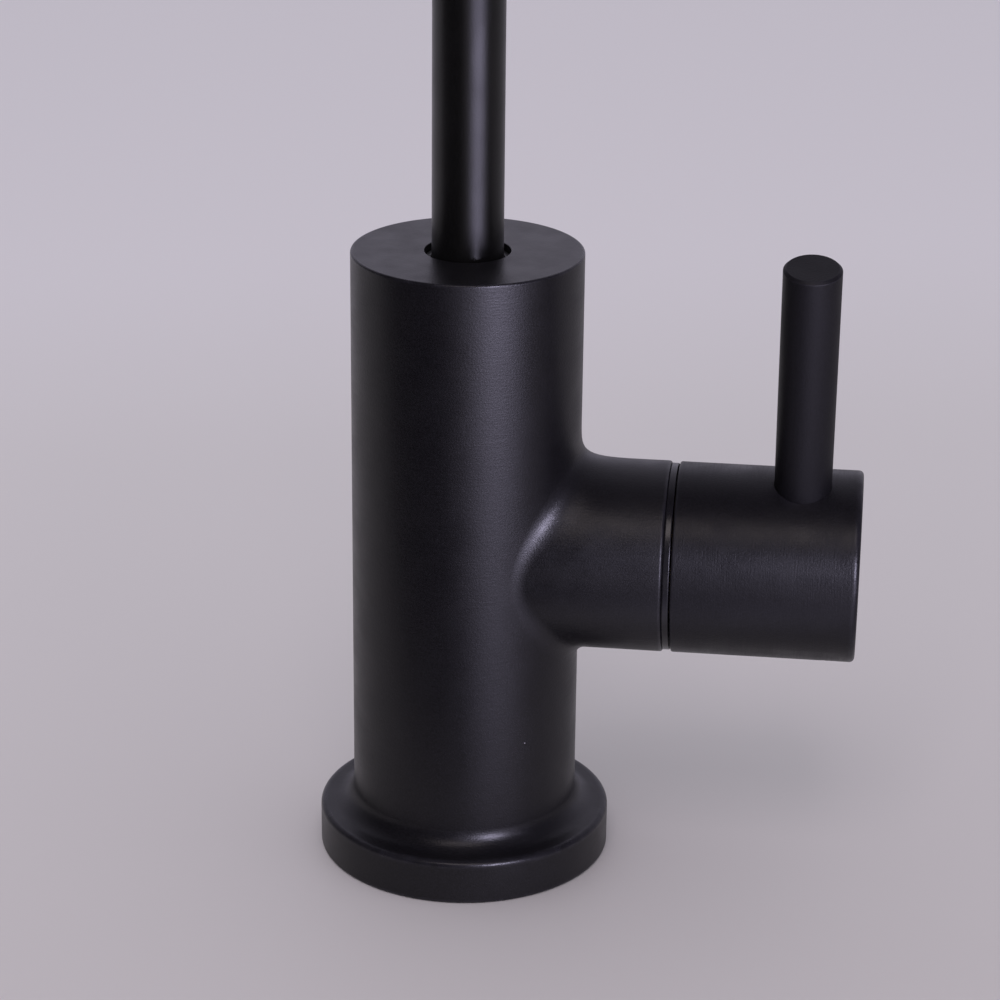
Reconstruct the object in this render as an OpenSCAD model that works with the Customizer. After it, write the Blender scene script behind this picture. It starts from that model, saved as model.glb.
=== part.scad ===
// Water filter tap: an upright round body that bolts through a worktop, a swivelling gooseneck
// spout and a side lever on a quarter-turn ceramic valve. Millimetres, +Z up. The origin is the
// centre of the foot flange's underside, the handle is towards +X and the spout towards -Y.

/* [Body] */
// Diameter of the upright body
body_d = 32.5; // [31.5:0.5:36]
// Height of the body above the worktop
body_h = 90.8; // [86:0.2:110]
// Diameter of the foot flange
flange_d = 42.3; // [41:0.1:50]
// Height of the foot flange
flange_h = 6.5; // [5:0.1:9]
// Radius of the hollow curve between the foot flange and the body
cove_r = 3.8; // [1.5:0.1:4]
// Radius of the rounded rim of the foot flange
flange_edge = 0.6; // [0.2:0.1:1]
// Radius of the rounded edge round the body's top face
top_edge = 0.3; // [0.1:0.1:1]

/* [Valve boss] */
// Diameter of the boss that carries the valve
boss_d = 27.2; // [26:0.1:29]
// Height of the boss's axis above the worktop
boss_z = 46.7; // [44:0.1:50]
// Distance from the body's axis to the end of the boss
boss_reach = 28.95; // [28:0.05:34]
// Radius of the blend where the boss grows out of the body
blend_r = 2.4; // [1:0.1:3.5]
// Radius of the rounded edge at the end of the boss
boss_edge = 0.35; // [0.1:0.05:0.8]
// Thickness of the spacer ring between the boss and the handle
ring_t = 1.05; // [0.8:0.05:2]
// Depth by which the spacer ring lies inside the boss's outline
ring_inset = 0.3; // [0.1:0.1:1]

/* [Handle] */
// Diameter of the handle's hub
hub_d = 27.15; // [26.5:0.05:30]
// Length of the hub
hub_len = 25.9; // [25:0.1:32]
// Running gap between the spacer ring and the hub
hub_gap = 0.17; // [0.1:0.01:0.5]
// Radius of the rounded edge at the hub's closed end
hub_edge = 0.6; // [0.2:0.1:1.5]
// Radius of the rounded edge at the hub's open end
hub_mouth_edge = 0.4; // [0.2:0.1:0.6]
// Diameter of the lever rod
lever_d = 8; // [6:0.1:9]
// Distance from the hub's axis to the tip of the lever
lever_reach = 48.35; // [35:0.05:70]
// Distance from the hub's open end to the lever's axis
lever_set = 17.5; // [17:0.1:19.5]
// Chamfer round the lever's tip
lever_chamfer = 0.4; // [0.2:0.1:1]
// Angle by which the lever leans to the front when the tap stands as pictured
lean = 13; // [0:1:60]
// Angle that the lever turns through from shut to open
quarter = 90; // [60:1:100]

/* [Spout] */
// Outer diameter of the spout tube
spout_d = 10; // [9:0.1:11]
// Wall of the spout tube
spout_wall = 1; // [0.6:0.1:1.5]
// Radius of the gooseneck, measured to the middle of the tube
bend_r = 56; // [40:1:75]
// Height of the centre of the gooseneck above the worktop
bend_z = 229; // [200:1:260]
// Height of the lower end of the tube at the outlet
outlet_z = 194; // [150:1:197]

/* [Outlet] */
// Diameter of the aerator's housing
aerator_d = 12.6; // [12.4:0.1:15]
// Length of the aerator's housing
aerator_len = 14; // [12:0.5:20]
// Number of holes in the outer row of the aerator's plate
aerator_holes = 12; // [8:1:12]

/* [Valve] */
// Diameter of the bore that the valve screws into
valve_bore_d = 18; // [17.9:0.1:18.4]
// Depth of that bore from the end of the boss
valve_depth = 20.95; // [20.5:0.05:22]
// Diameter of the ceramic discs' seat in the valve
disc_d = 12.8; // [12:0.1:13]
// Thickness of each ceramic disc
disc_t = 2.6; // [2:0.1:2.8]
// Diameter of the valve spindle
spindle_d = 8; // [7:0.1:8.4]
// Number of teeth on the spindle
spline_teeth = 20; // [12:1:24]
// Height of one spindle tooth
spline_h = 0.4; // [0.25:0.05:0.5]
// Size across the flats of the valve's hexagon
valve_af = 17; // [15:0.5:17]
// Angle that each port of a ceramic disc spans
port_angle = 76; // [60:1:84]

/* [Shank and clamp] */
// Outer diameter of the threaded shank
shank_d = 12; // [10:0.1:14]
// Bore of the shank
shank_bore_d = 6.6; // [5:0.1:7]
// Length of the shank below the worktop's surface
shank_len = 55; // [50:1:70]
// Thickness of the worktop between the foot and the clamp
worktop_t = 20; // [12:1:24]
// Diameter of the clamp washers
washer_d = 30; // [26:1:36]
// Thickness of the rubber washer
rubber_t = 3; // [2:0.5:4]
// Thickness of the steel washer
steel_t = 1.5; // [1:0.1:2.5]
// Size across the flats of the lock nut
nut_af = 19; // [17:0.5:24]
// Height of the lock nut
nut_h = 6; // [5:0.5:8]
// Width of the foot flange's rim outside the base gasket
foot_rim = 3.2; // [2:0.1:5]
// Thickness of the base gasket
gasket_t = 2.5; // [1.5:0.1:3]

/* [Inlet fitting] */
// Outer diameter of the water tube that pushes into the fitting
tube_d = 6.35; // [6:0.05:6.4]
// Size across the flats of the fitting's hexagon
fitting_af = 17; // [16:0.5:20]
// Length of the fitting
fitting_len = 27; // [27:0.5:34]
// Distance that the release collet can be pressed in
collet_stroke = 1.5; // [1:0.1:1.5]

/* [Fits] */
// Radial clearance of the spout's foot in the body
swivel_gap = 0.08; // [0.04:0.01:0.1]
// Radial clearance of the spindle in the valve
spindle_gap = 0.05; // [0.03:0.01:0.09]
// Radial clearance between fixed pieces
seat_gap = 0.05; // [0.03:0.01:0.08]
// Axial clearance between pieces that turn on each other
end_gap = 0.1; // [0.05:0.01:0.2]

/* [Hidden] */
$fn = 96;

black = [0.10, 0.10, 0.11];
brass = [0.76, 0.62, 0.34];
steel = [0.72, 0.73, 0.75];
rubber = [0.16, 0.16, 0.17];
ceramic = [0.93, 0.92, 0.88];
white_plastic = [0.88, 0.89, 0.90];
grey_plastic = [0.45, 0.47, 0.50];

// How far a cut runs past the face that it goes through
over = 0.5;
// Chamfer on small machined edges
bevel = 0.3;

// Body
body_r = body_d / 2;
flange_r = flange_d / 2;
cove = min(cove_r, flange_r - body_r - flange_edge);
boss_r = boss_d / 2;
ring_r = boss_r - ring_inset;

// Blend of the boss: steps round it, steps across it, and how deep its edges and core are sunk
blend_turns = 72;
blend_steps = 8;
blend_dip = 0.05;
blend_core = 0.9;

// Spout's foot, from the bush's top down
bush_drop = 0.95;
bush_h = 4.6;
bush_play = 0.25;
ferrule_wall = 0.95;
ferrule_h = 17.5;
tube_grip = 5.5;
sump_h = 0.8;
snap_land = 1.9;
snap_h = 1.2;
snap_play = 0.2;
snap_depth = 0.55;
snap_slit = 3;
groove_w = 1.8;
groove_in = 1.2;
groove_first = 2.6;
groove_pitch = 3.5;
waterway_r = 3.2;
spout_r = spout_d / 2;
ferrule_r = spout_r + ferrule_wall;
socket_r = ferrule_r + swivel_gap;
bush_top = body_h - bush_drop;
bush_foot = bush_top - bush_h;
ferrule_top = bush_foot - bush_play;
ferrule_foot = ferrule_top - ferrule_h;
tube_foot = ferrule_top - tube_grip;
snap_top = tube_foot - snap_land;
snap_foot = snap_top - snap_h;
snap_inner_r = ferrule_r - groove_in + snap_play / 2;
snap_outer_r = socket_r + snap_depth - snap_play / 2;
socket_foot = ferrule_foot - sump_h;

// Waterways in the body
inlet_r = 3.5;
outlet_r = 2.5;
outlet_in = 3;
outlet_sink = 1.7;

// Valve, from the bottom of its bore outwards along the handle's axis
valve_bore_r = valve_bore_d / 2;
seal_len = 2.4;
seal_wall = 0.95;
disc_film = 0.03;
head_t = 2.6;
tang_w = 2;
tang_h = 1.1;
disc_slot_extra = 0.15;
port_in = 1.8;
port_rim = 1;
key_w = 1.6;
key_h = 0.6;
housing_wall = 1.5;
housing_lip = 0.8;
window_w = 7;
window_len = 4.2;
thread_relief = 1.1;
valve_o_cord = 1.4;
valve_hex_h = 4;
wall_h = 1.6;
wall_in = 5.4;
wall_out = 7.2;
lug_reach = 6.9;
lug_half = 12;
stop_play = 0.7;
stop_t = 1.4;
stop_r = 5.2;
clip_t = 0.8;
clip_play = 0.15;
clip_r = 5;
clip_groove = 0.35;
clip_mouth = 4.2;
o_groove_in = 0.8;
o_groove_w = 1.3;
o_groove_set = 3.2;
o_groove_pitch = 3.4;
disc_r = disc_d / 2;
key_r = disc_r + seat_gap - key_h;
turning_r = key_r - seat_gap;
spindle_r = spindle_d / 2;
spline_tip = spindle_r - seat_gap;
spline_root = spline_tip - spline_h;
x_floor = boss_reach - valve_depth;
x_fixed = x_floor + seal_len;
x_turning = x_fixed + disc_t + disc_film;
x_head = x_turning + disc_t + end_gap / 2;
x_neck = x_head + head_t + end_gap;
x_hex = boss_reach + ring_t;
x_wall = x_hex + valve_hex_h;
x_stop = x_wall + end_gap;
x_clip = x_stop + stop_t + clip_play;
housing_r = disc_r + seat_gap + housing_wall;
thread_r = valve_bore_r - seat_gap;
neck_r = spindle_r + spindle_gap;
spindle_groove_r = spindle_r - o_groove_in;
spline_shares = [[-0.32, 0], [-0.15, 1], [0.15, 1], [0.32, 0]];

// Handle
hub_r = hub_d / 2;
hub_wall = 3.1;
hub_cavity = 12;
hub_cap = 4.1;
spindle_play = 1;
lever_seat = 1.3;
stub_d = 5;
stub_len = 5.6;
grub_d = 4;
grub_len = 5;
grub_key_af = 2;
grub_key_depth = 2.2;
x_hub = x_hex + hub_gap;
x_socket = x_hub + hub_cavity;
x_cap = x_hub + hub_len - hub_cap;
x_lever = x_hub + lever_set;
lever_r = lever_d / 2;
lever_foot = hub_r - lever_seat;
grub_tip = spindle_r + seat_gap;

// Outlet
aerator_lip = 1.2;
aerator_rim = 1.9;
thread_cover = 6;
aerator_wall = 0.9;
seal_t = 1.3;
seal_width = 1.4;
insert_plate = 1.2;
insert_wall = 0.8;
hole_d = 0.7;
hole_rows_share = [0.42, 0.78];
aerator_r = aerator_d / 2;
insert_r = aerator_r - aerator_wall - seat_gap;
aerator_foot = outlet_z + thread_cover - aerator_len;
insert_h = outlet_z - seal_t - aerator_foot - aerator_lip;

// Shank and clamp
shank_r = shank_d / 2;
shank_grip = 8.5;
shank_cord = 1;
gasket_hole = 0.9;
washer_hole = 0.4;
nut_bevel = 0.8;
shank_top = gasket_t + shank_grip;
gasket_r = flange_r - foot_rim;
rubber_foot = -worktop_t - rubber_t;
nut_top = rubber_foot - steel_t;

// Inlet fitting, from its top down
fitting_grip = 8;
fitting_hex_h = 10;
fitting_wall = 3.2;
fitting_floor = 5.5;
fitting_way_r = 2.4;
tube_stop = 3.5;
tube_gap = 0.075;
o_cord = 1.9;
o_room = 2.8;
retainer_h = 3;
retainer_lip = 0.3;
retainer_out = 1;
grab_t = 0.5;
grab_step = 0.4;
grab_teeth = 8;
grab_slit = 0.7;
grab_slit_len = 1;
sleeve_wall = 0.95;
barb_h = 0.8;
barb_out = 0.7;
collet_play = 0.5;
collet_flange_h = 1.5;
collet_flange_out = 1.9;
collet_slits = 4;
collet_slit_w = 0.8;
tube_r = tube_d / 2;
pocket_r = tube_r + tube_gap;
fitting_top = fitting_grip - shank_len;
fitting_foot = fitting_top - fitting_len;
shank_stop = -shank_len - seat_gap;
pocket_top = shank_stop - fitting_floor;
o_room_top = pocket_top - tube_stop;
o_ring_z = o_room_top - o_cord / 2 - seat_gap;
step_z = o_room_top - o_room;
o_room_r = pocket_r + o_cord + seat_gap;
step_r = o_room_r + grab_step;
retainer_r = step_r + retainer_out;
fitting_r = retainer_r + fitting_wall - retainer_out;
collet_r = pocket_r + sleeve_wall;
barb_r = collet_r + barb_out;
retainer_top = fitting_foot + retainer_h;
barb_foot = fitting_foot + retainer_h - retainer_lip + end_gap;
barb_top = barb_foot + barb_h;
grab_foot = step_z - grab_t - seat_gap;
collet_top = grab_foot - collet_stroke - end_gap;
collet_foot = fitting_foot - collet_stroke - collet_play - collet_flange_h;

// Shapes that repeat

// A round plate or tube with a hole through it
module ring(outer, inner, h) {
    difference() {
        cylinder(r = outer, h = h);
        translate([0, 0, -over])
            cylinder(r = inner, h = h + 2 * over);
    }
}

// An O-ring that lies round the Z axis
module o_ring(inner, outer) {
    rotate_extrude()
        translate([(inner + outer) / 2, 0])
            circle(r = (outer - inner) / 2);
}

// What a rounded edge takes off a corner, with the round's centre at the origin
module round_off(r) {
    difference() {
        square(r + over);
        circle(r = r);
    }
}

// What a hollow curve adds in a corner at the origin
module cove_in(r) {
    difference() {
        translate([-over, -over])
            square(r + over);
        translate([r, r])
            circle(r = r);
    }
}

// A hexagon given by its size across the flats, with its corners bevelled at one or both ends
module hexagon(af, h, bevel_low, bevel_high) {
    corner = af / 2 / cos(30);
    intersection() {
        cylinder(r = corner, h = h, $fn = 6);
        rotate_extrude()
            polygon([
                [0, 0], [corner - bevel_low, 0], [corner, bevel_low / 2],
                [corner, h - bevel_high / 2], [corner - bevel_high, h], [0, h],
            ]);
    }
}

// The outline of a toothed shaft
function spline_points(root, tip) = [
    for (tooth = [0 : spline_teeth - 1], share = spline_shares)
        let (angle = 360 / spline_teeth * (tooth + share[0]), r = root + share[1] * (tip - root))
            [r * cos(angle), r * sin(angle)]
];

// A flat sector of a ring between two angles
module sector(inner, outer, from, to) {
    intersection() {
        difference() {
            circle(r = outer);
            circle(r = inner);
        }
        polygon(concat([[0, 0]], [
            for (step = [0 : 6])
                let (angle = from + (to - from) * step / 6)
                    2 * outer * [cos(angle), sin(angle)]
        ]));
    }
}

// Puts a shape drawn along +Z on the valve's axis: its x is then +Y and its y is then +Z
module on_valve_axis(x) {
    translate([x, 0, boss_z])
        rotate([90, 0, 90])
            children();
}

// The same for pieces that turn with the handle, with the lever along their own y
module on_handle(x) {
    on_valve_axis(x)
        rotate(lean)
            children();
}

// A straight round passage from one point to another
module passage(from, to, r) {
    way = to - from;
    translate(from)
        rotate([0, acos(way.z / norm(way)), atan2(way.y, way.x)])
            cylinder(r = r, h = norm(way));
}

// Body

module body_outline() {
    difference() {
        union() {
            square([body_r, body_h]);
            square([flange_r, flange_h]);
            translate([body_r, flange_h])
                cove_in(cove);
        }
        translate([flange_r - flange_edge, flange_h - flange_edge])
            round_off(flange_edge);
        translate([body_r - top_edge, body_h - top_edge])
            round_off(top_edge);
    }
}

// The blend is the surface that a ball leaves when it rolls round the boss, touching the boss
// and the body. Each section runs along the ball between its two points of touch.
function ball_centre(angle, outer, inner) =
    let (y = inner * sin(angle))
        [sqrt(outer * outer - y * y), y, boss_z + inner * cos(angle)];

function touch_body(c) =
    let (share = (body_r - blend_dip) / (body_r + blend_r))
        [c.x * share, c.y * share, c.z];

function touch_boss(c) =
    let (share = (boss_r - blend_dip) / (boss_r + blend_r))
        [c.x, c.y * share, boss_z + (c.z - boss_z) * share];

function turn_between(u, v, share) =
    let (whole = acos(u * v))
        (sin((1 - share) * whole) * u + sin(share * whole) * v) / sin(whole);

function blend_section(angle) =
    let (
        c = ball_centre(angle, body_r + blend_r, boss_r + blend_r),
        core = ball_centre(angle, body_r - blend_core, boss_r - blend_core),
        low = touch_body(c),
        high = touch_boss(c),
        u = (low - c) / norm(low - c),
        v = (high - c) / norm(high - c)
    )
        concat([core, low], [
            for (step = [1 : blend_steps - 1])
                c + blend_r * turn_between(u, v, step / blend_steps)
        ], [high]);

module boss_blend() {
    row = blend_steps + 2;
    polyhedron(
        points = [
            for (turn = [0 : blend_turns - 1], p = blend_section(360 * turn / blend_turns))
                p
        ],
        faces = [
            for (turn = [0 : blend_turns - 1], i = [0 : row - 1])
                let (
                    a = turn * row + i,
                    b = turn * row + (i + 1) % row,
                    c = (turn + 1) % blend_turns * row + (i + 1) % row,
                    d = (turn + 1) % blend_turns * row + i
                )
                    each [[a, b, c], [a, c, d]]
        ]
    );
}

module body() {
    color(black)
        difference() {
            union() {
                rotate_extrude()
                    body_outline();
                on_valve_axis(0)
                    rotate_extrude()
                        difference() {
                            square([boss_r, boss_reach]);
                            translate([boss_r - boss_edge, boss_reach - boss_edge])
                                round_off(boss_edge);
                        }
                boss_blend();
            }
            // Socket of the spout, with the groove that its snap ring springs into
            translate([0, 0, socket_foot])
                cylinder(r = socket_r, h = body_h - socket_foot + over);
            translate([0, 0, snap_foot - snap_play / 2])
                cylinder(r = socket_r + snap_depth, h = snap_h + snap_play);
            // Bore and waterways of the valve
            on_valve_axis(x_floor)
                cylinder(r = valve_bore_r, h = valve_depth + over);
            translate([0, 0, gasket_t])
                cylinder(r = inlet_r, h = boss_z + inlet_r - gasket_t);
            on_valve_axis(0)
                cylinder(r = inlet_r, h = x_floor + over);
            passage([0, 0, socket_foot + outlet_r / 2],
                [x_floor + outlet_in, 0, boss_z + valve_bore_r - outlet_sink], outlet_r);
            // Recess of the base gasket and socket of the shank
            translate([0, 0, -over])
                cylinder(r = gasket_r, h = gasket_t + over);
            translate([0, 0, gasket_t - over])
                cylinder(r = shank_r + seat_gap, h = shank_grip + shank_cord + over);
        }
}

module base_gasket() {
    color(rubber)
        ring(gasket_r - seat_gap, shank_r + gasket_hole, gasket_t);
}

// Shank and clamp

module mounting_shank() {
    color(brass)
        difference() {
            rotate_extrude()
                polygon([
                    [0, -shank_len], [shank_r - bevel, -shank_len], [shank_r, -shank_len + bevel],
                    [shank_r, shank_top - bevel], [shank_r - bevel, shank_top], [0, shank_top],
                ]);
            translate([0, 0, -shank_len - over])
                cylinder(r = shank_bore_d / 2, h = shank_len + shank_top + 2 * over);
        }
}

module shank_seal() {
    color(rubber)
        translate([0, 0, shank_top + shank_cord / 2])
            o_ring(shank_r - bevel - 2 * shank_cord, shank_r - bevel - shank_cord);
}

module rubber_washer() {
    color(rubber)
        translate([0, 0, rubber_foot])
            ring(washer_d / 2, shank_r + washer_hole, rubber_t);
}

module steel_washer() {
    color(steel)
        translate([0, 0, nut_top])
            ring(washer_d / 2, shank_r + washer_hole, steel_t);
}

module lock_nut() {
    color(brass)
        translate([0, 0, nut_top - nut_h])
            difference() {
                hexagon(nut_af, nut_h, nut_bevel, nut_bevel);
                translate([0, 0, -over])
                    cylinder(r = shank_r + seat_gap, h = nut_h + 2 * over);
            }
}

// Inlet fitting

module inlet_fitting() {
    color(grey_plastic)
        difference() {
            union() {
                translate([0, 0, fitting_top - fitting_hex_h])
                    hexagon(fitting_af, fitting_hex_h, nut_bevel, nut_bevel);
                translate([0, 0, fitting_foot])
                    rotate_extrude()
                        polygon([
                            [0, 0], [fitting_r - bevel, 0], [fitting_r, bevel],
                            [fitting_r, fitting_len - fitting_hex_h + over],
                            [0, fitting_len - fitting_hex_h + over],
                        ]);
            }
            translate([0, 0, shank_stop])
                cylinder(r = shank_r + seat_gap, h = fitting_top - shank_stop + over);
            translate([0, 0, pocket_top - over])
                cylinder(r = fitting_way_r, h = shank_stop - pocket_top + 2 * over);
            translate([0, 0, o_room_top - over])
                cylinder(r = pocket_r, h = tube_stop + over);
            translate([0, 0, step_z - over])
                cylinder(r = o_room_r, h = o_room + over);
            translate([0, 0, retainer_top - over])
                cylinder(r = step_r, h = step_z - retainer_top + over);
            translate([0, 0, fitting_foot - over])
                cylinder(r = retainer_r, h = retainer_h + over);
        }
}

module tube_o_ring() {
    color(rubber)
        translate([0, 0, o_ring_z])
            o_ring(pocket_r, pocket_r + o_cord);
}

module grab_ring() {
    color(steel)
        translate([0, 0, grab_foot])
            linear_extrude(height = grab_t)
                difference() {
                    circle(r = step_r - seat_gap);
                    circle(r = pocket_r + seat_gap);
                    for (i = [0 : grab_teeth - 1])
                        rotate(360 / grab_teeth * i)
                            translate([0, -grab_slit / 2])
                                square([pocket_r + grab_slit_len, grab_slit]);
                }
}

module collet_retainer() {
    color(grey_plastic)
        rotate_extrude()
            polygon([
                [collet_r + seat_gap, fitting_foot],
                [retainer_r - seat_gap, fitting_foot],
                [retainer_r - seat_gap, retainer_top - seat_gap],
                [step_r - seat_gap, retainer_top - seat_gap],
                [step_r - seat_gap, grab_foot - seat_gap],
                [barb_r + seat_gap, grab_foot - seat_gap],
                [barb_r + seat_gap, retainer_top - retainer_lip],
                [collet_r + seat_gap, retainer_top - retainer_lip],
            ]);
}

module release_collet() {
    color(white_plastic)
        difference() {
            rotate_extrude()
                polygon([
                    [pocket_r + seat_gap, collet_foot + bevel],
                    [pocket_r + seat_gap + bevel, collet_foot],
                    [collet_r + collet_flange_out, collet_foot],
                    [collet_r + collet_flange_out, collet_foot + collet_flange_h],
                    [collet_r, collet_foot + collet_flange_h],
                    [collet_r, barb_foot],
                    [barb_r, barb_foot],
                    [barb_r, barb_top - barb_h / 2],
                    [collet_r, barb_top],
                    [collet_r - sleeve_wall / 2, collet_top],
                    [pocket_r + seat_gap, collet_top],
                ]);
            for (i = [0 : collet_slits - 1])
                rotate(360 / collet_slits * i)
                    translate([0, -collet_slit_w / 2, barb_foot - barb_h])
                        cube([barb_r + over, collet_slit_w, collet_top - barb_foot + barb_h + over]);
        }
}

// Valve

module seat_seal() {
    color(rubber)
        on_valve_axis(x_floor)
            ring(disc_r, disc_r - seal_wall, seal_len);
}

module ports() {
    for (side = [0, 180])
        sector(port_in, turning_r - port_rim, side - port_angle / 2, side + port_angle / 2);
}

module fixed_disc() {
    color(ceramic)
        on_valve_axis(x_fixed)
            linear_extrude(height = disc_t)
                difference() {
                    circle(r = disc_r);
                    ports();
                    for (side = [90, 270])
                        rotate(side)
                            translate([key_r - seat_gap, -key_w / 2 - seat_gap])
                                square([key_h + 2 * over, key_w + 2 * seat_gap]);
                }
}

module turning_disc() {
    color(ceramic)
        on_handle(x_turning)
            difference() {
                linear_extrude(height = disc_t)
                    difference() {
                        circle(r = turning_r);
                        rotate(90)
                            ports();
                    }
                // Slot for the spindle's tang
                translate([-turning_r - over, -tang_w / 2 - seat_gap, disc_t - tang_h - disc_slot_extra])
                    cube([2 * (turning_r + over), tang_w + 2 * seat_gap, tang_h + disc_slot_extra + over]);
            }
}

module valve_housing() {
    color(brass)
        difference() {
            union() {
                on_valve_axis(0)
                    rotate_extrude()
                        polygon([
                            [0, x_floor + housing_lip], [housing_r, x_floor + housing_lip],
                            [housing_r, x_neck + thread_relief],
                            [thread_r - valve_o_cord, x_neck + thread_relief],
                            [thread_r - valve_o_cord, x_neck + thread_relief + valve_o_cord],
                            [thread_r, x_neck + thread_relief + valve_o_cord],
                            [thread_r, x_hex + over], [0, x_hex + over],
                        ]);
                on_valve_axis(x_hex)
                    hexagon(valve_af, valve_hex_h, bevel, nut_bevel);
                // Wall that stops the lug of the stop washer at shut and at open
                on_valve_axis(x_wall - over)
                    linear_extrude(height = wall_h + over)
                        sector(wall_in, wall_out, quarter - 90 + lug_half + stop_play,
                            270 - lug_half - stop_play);
            }
            on_valve_axis(x_floor)
                difference() {
                    cylinder(r = disc_r + seat_gap, h = x_neck - x_floor);
                    // Keys that hold the fixed disc
                    for (side = [90, 270])
                        rotate(side)
                            translate([key_r, -key_w / 2, seal_len])
                                cube([key_h + over, key_w, disc_t]);
                }
            on_valve_axis(x_neck - over)
                cylinder(r = neck_r, h = x_wall + wall_h - x_neck + 2 * over);
            // Windows that the water leaves by
            on_valve_axis(x_turning + window_len / 2)
                cube([2 * housing_r + 2 * over, window_w, window_len], center = true);
        }
}

module valve_o_ring() {
    color(rubber)
        on_valve_axis(x_neck + thread_relief + valve_o_cord / 2)
            o_ring(thread_r - valve_o_cord + seat_gap, thread_r - seat_gap / 2);
}

module spindle() {
    groove_0 = x_neck + o_groove_set;
    groove_1 = groove_0 + o_groove_pitch;
    tip_x = x_cap - spindle_play;
    color(brass)
        union() {
            on_valve_axis(0)
                rotate_extrude()
                    polygon([
                        [0, x_head], [disc_r - seat_gap, x_head], [disc_r - seat_gap, x_head + head_t],
                        [spindle_r, x_head + head_t],
                        [spindle_r, groove_0], [spindle_groove_r, groove_0],
                        [spindle_groove_r, groove_0 + o_groove_w], [spindle_r, groove_0 + o_groove_w],
                        [spindle_r, groove_1], [spindle_groove_r, groove_1],
                        [spindle_groove_r, groove_1 + o_groove_w], [spindle_r, groove_1 + o_groove_w],
                        [spindle_r, x_wall], [0, x_wall],
                    ]);
            // Teeth on both sides of the clip's groove, with a plain core between them
            on_handle(x_wall)
                linear_extrude(height = x_clip - clip_play / 2 - x_wall)
                    polygon(spline_points(spline_root, spline_tip));
            on_handle(x_clip + clip_t + clip_play / 2)
                linear_extrude(height = tip_x - x_clip - clip_t - clip_play / 2)
                    polygon(spline_points(spline_root, spline_tip));
            on_handle(x_wall - over)
                cylinder(r = spline_root - clip_groove, h = x_clip + clip_t + 2 * over - x_wall + over);
            // Tang that turns the disc
            on_handle(x_head - tang_h)
                intersection() {
                    cylinder(r = turning_r - seat_gap, h = tang_h + over);
                    translate([-turning_r, -tang_w / 2, 0])
                        cube([2 * turning_r, tang_w, tang_h + over]);
                }
        }
}

module spindle_o_rings() {
    color(rubber)
        for (i = [0, 1])
            on_valve_axis(x_neck + o_groove_set + o_groove_pitch * i + o_groove_w / 2)
                o_ring(spindle_groove_r + spindle_gap / 2, neck_r - spindle_gap / 2);
}

module stop_washer() {
    color(steel)
        on_handle(x_stop)
            linear_extrude(height = stop_t)
                difference() {
                    union() {
                        circle(r = stop_r);
                        sector(stop_r - over, lug_reach, 270 - lug_half, 270 + lug_half);
                    }
                    polygon(spline_points(spline_root + seat_gap, spindle_r));
                }
}

module spindle_clip() {
    color(steel)
        on_handle(x_clip)
            linear_extrude(height = clip_t)
                difference() {
                    circle(r = clip_r);
                    circle(r = spline_root - clip_groove + seat_gap);
                    translate([0, -clip_mouth / 2])
                        square([clip_r + over, clip_mouth]);
                }
}

// Handle

module spacer_ring() {
    color(black)
        on_valve_axis(boss_reach)
            rotate_extrude()
                polygon([
                    [thread_r + seat_gap, 0], [ring_r, 0], [ring_r, ring_t], [thread_r + seat_gap, ring_t],
                ]);
}

module handle_hub() {
    color(black)
        difference() {
            on_handle(x_hub)
                rotate_extrude()
                    difference() {
                        square([hub_r, hub_len]);
                        translate([hub_r - hub_edge, hub_len - hub_edge])
                            round_off(hub_edge);
                        translate([hub_r - hub_mouth_edge, hub_mouth_edge])
                            mirror([0, 1])
                                round_off(hub_mouth_edge);
                    }
            on_handle(x_hub - over)
                cylinder(r = hub_r - hub_wall, h = hub_cavity + over);
            on_handle(x_socket - over)
                linear_extrude(height = x_cap - x_socket + over)
                    polygon(spline_points(spline_root + seat_gap, spindle_r));
            // Seat and thread of the lever, and the thread of the grub screw opposite
            on_handle(x_lever)
                rotate([-90, 0, 0]) {
                    translate([0, 0, lever_foot])
                        cylinder(r = lever_r + seat_gap, h = lever_seat + over);
                    translate([0, 0, lever_foot - stub_len - seat_gap])
                        cylinder(r = stub_d / 2 + seat_gap, h = stub_len + over);
                }
            on_handle(x_lever)
                rotate([90, 0, 0])
                    cylinder(r = grub_d / 2 + seat_gap, h = hub_r + over);
        }
}

module lever_rod() {
    color(black)
        on_handle(x_lever)
            rotate([-90, 0, 0])
                rotate_extrude()
                    polygon([
                        [0, lever_foot - stub_len], [stub_d / 2, lever_foot - stub_len],
                        [stub_d / 2, lever_foot + seat_gap], [lever_r, lever_foot + seat_gap],
                        [lever_r, lever_reach - lever_chamfer],
                        [lever_r - lever_chamfer, lever_reach], [0, lever_reach],
                    ]);
}

module grub_screw() {
    color(steel)
        on_handle(x_lever)
            rotate([90, 0, 0])
                difference() {
                    translate([0, 0, grub_tip])
                        cylinder(r = grub_d / 2, h = grub_len);
                    translate([0, 0, grub_tip + grub_len - grub_key_depth])
                        cylinder(r = grub_key_af / 2 / cos(30), h = grub_key_depth + over, $fn = 6);
                }
}

// Spout

module spout_tube() {
    color(black)
        union() {
            translate([0, 0, tube_foot])
                ring(spout_r, spout_r - spout_wall, bend_z - tube_foot);
            translate([0, -bend_r, bend_z])
                rotate([90, 0, 90])
                    rotate_extrude(angle = 180)
                        translate([bend_r, 0])
                            difference() {
                                circle(r = spout_r);
                                circle(r = spout_r - spout_wall);
                            }
            translate([0, -2 * bend_r, outlet_z])
                ring(spout_r, spout_r - spout_wall, bend_z - outlet_z);
        }
}

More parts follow.
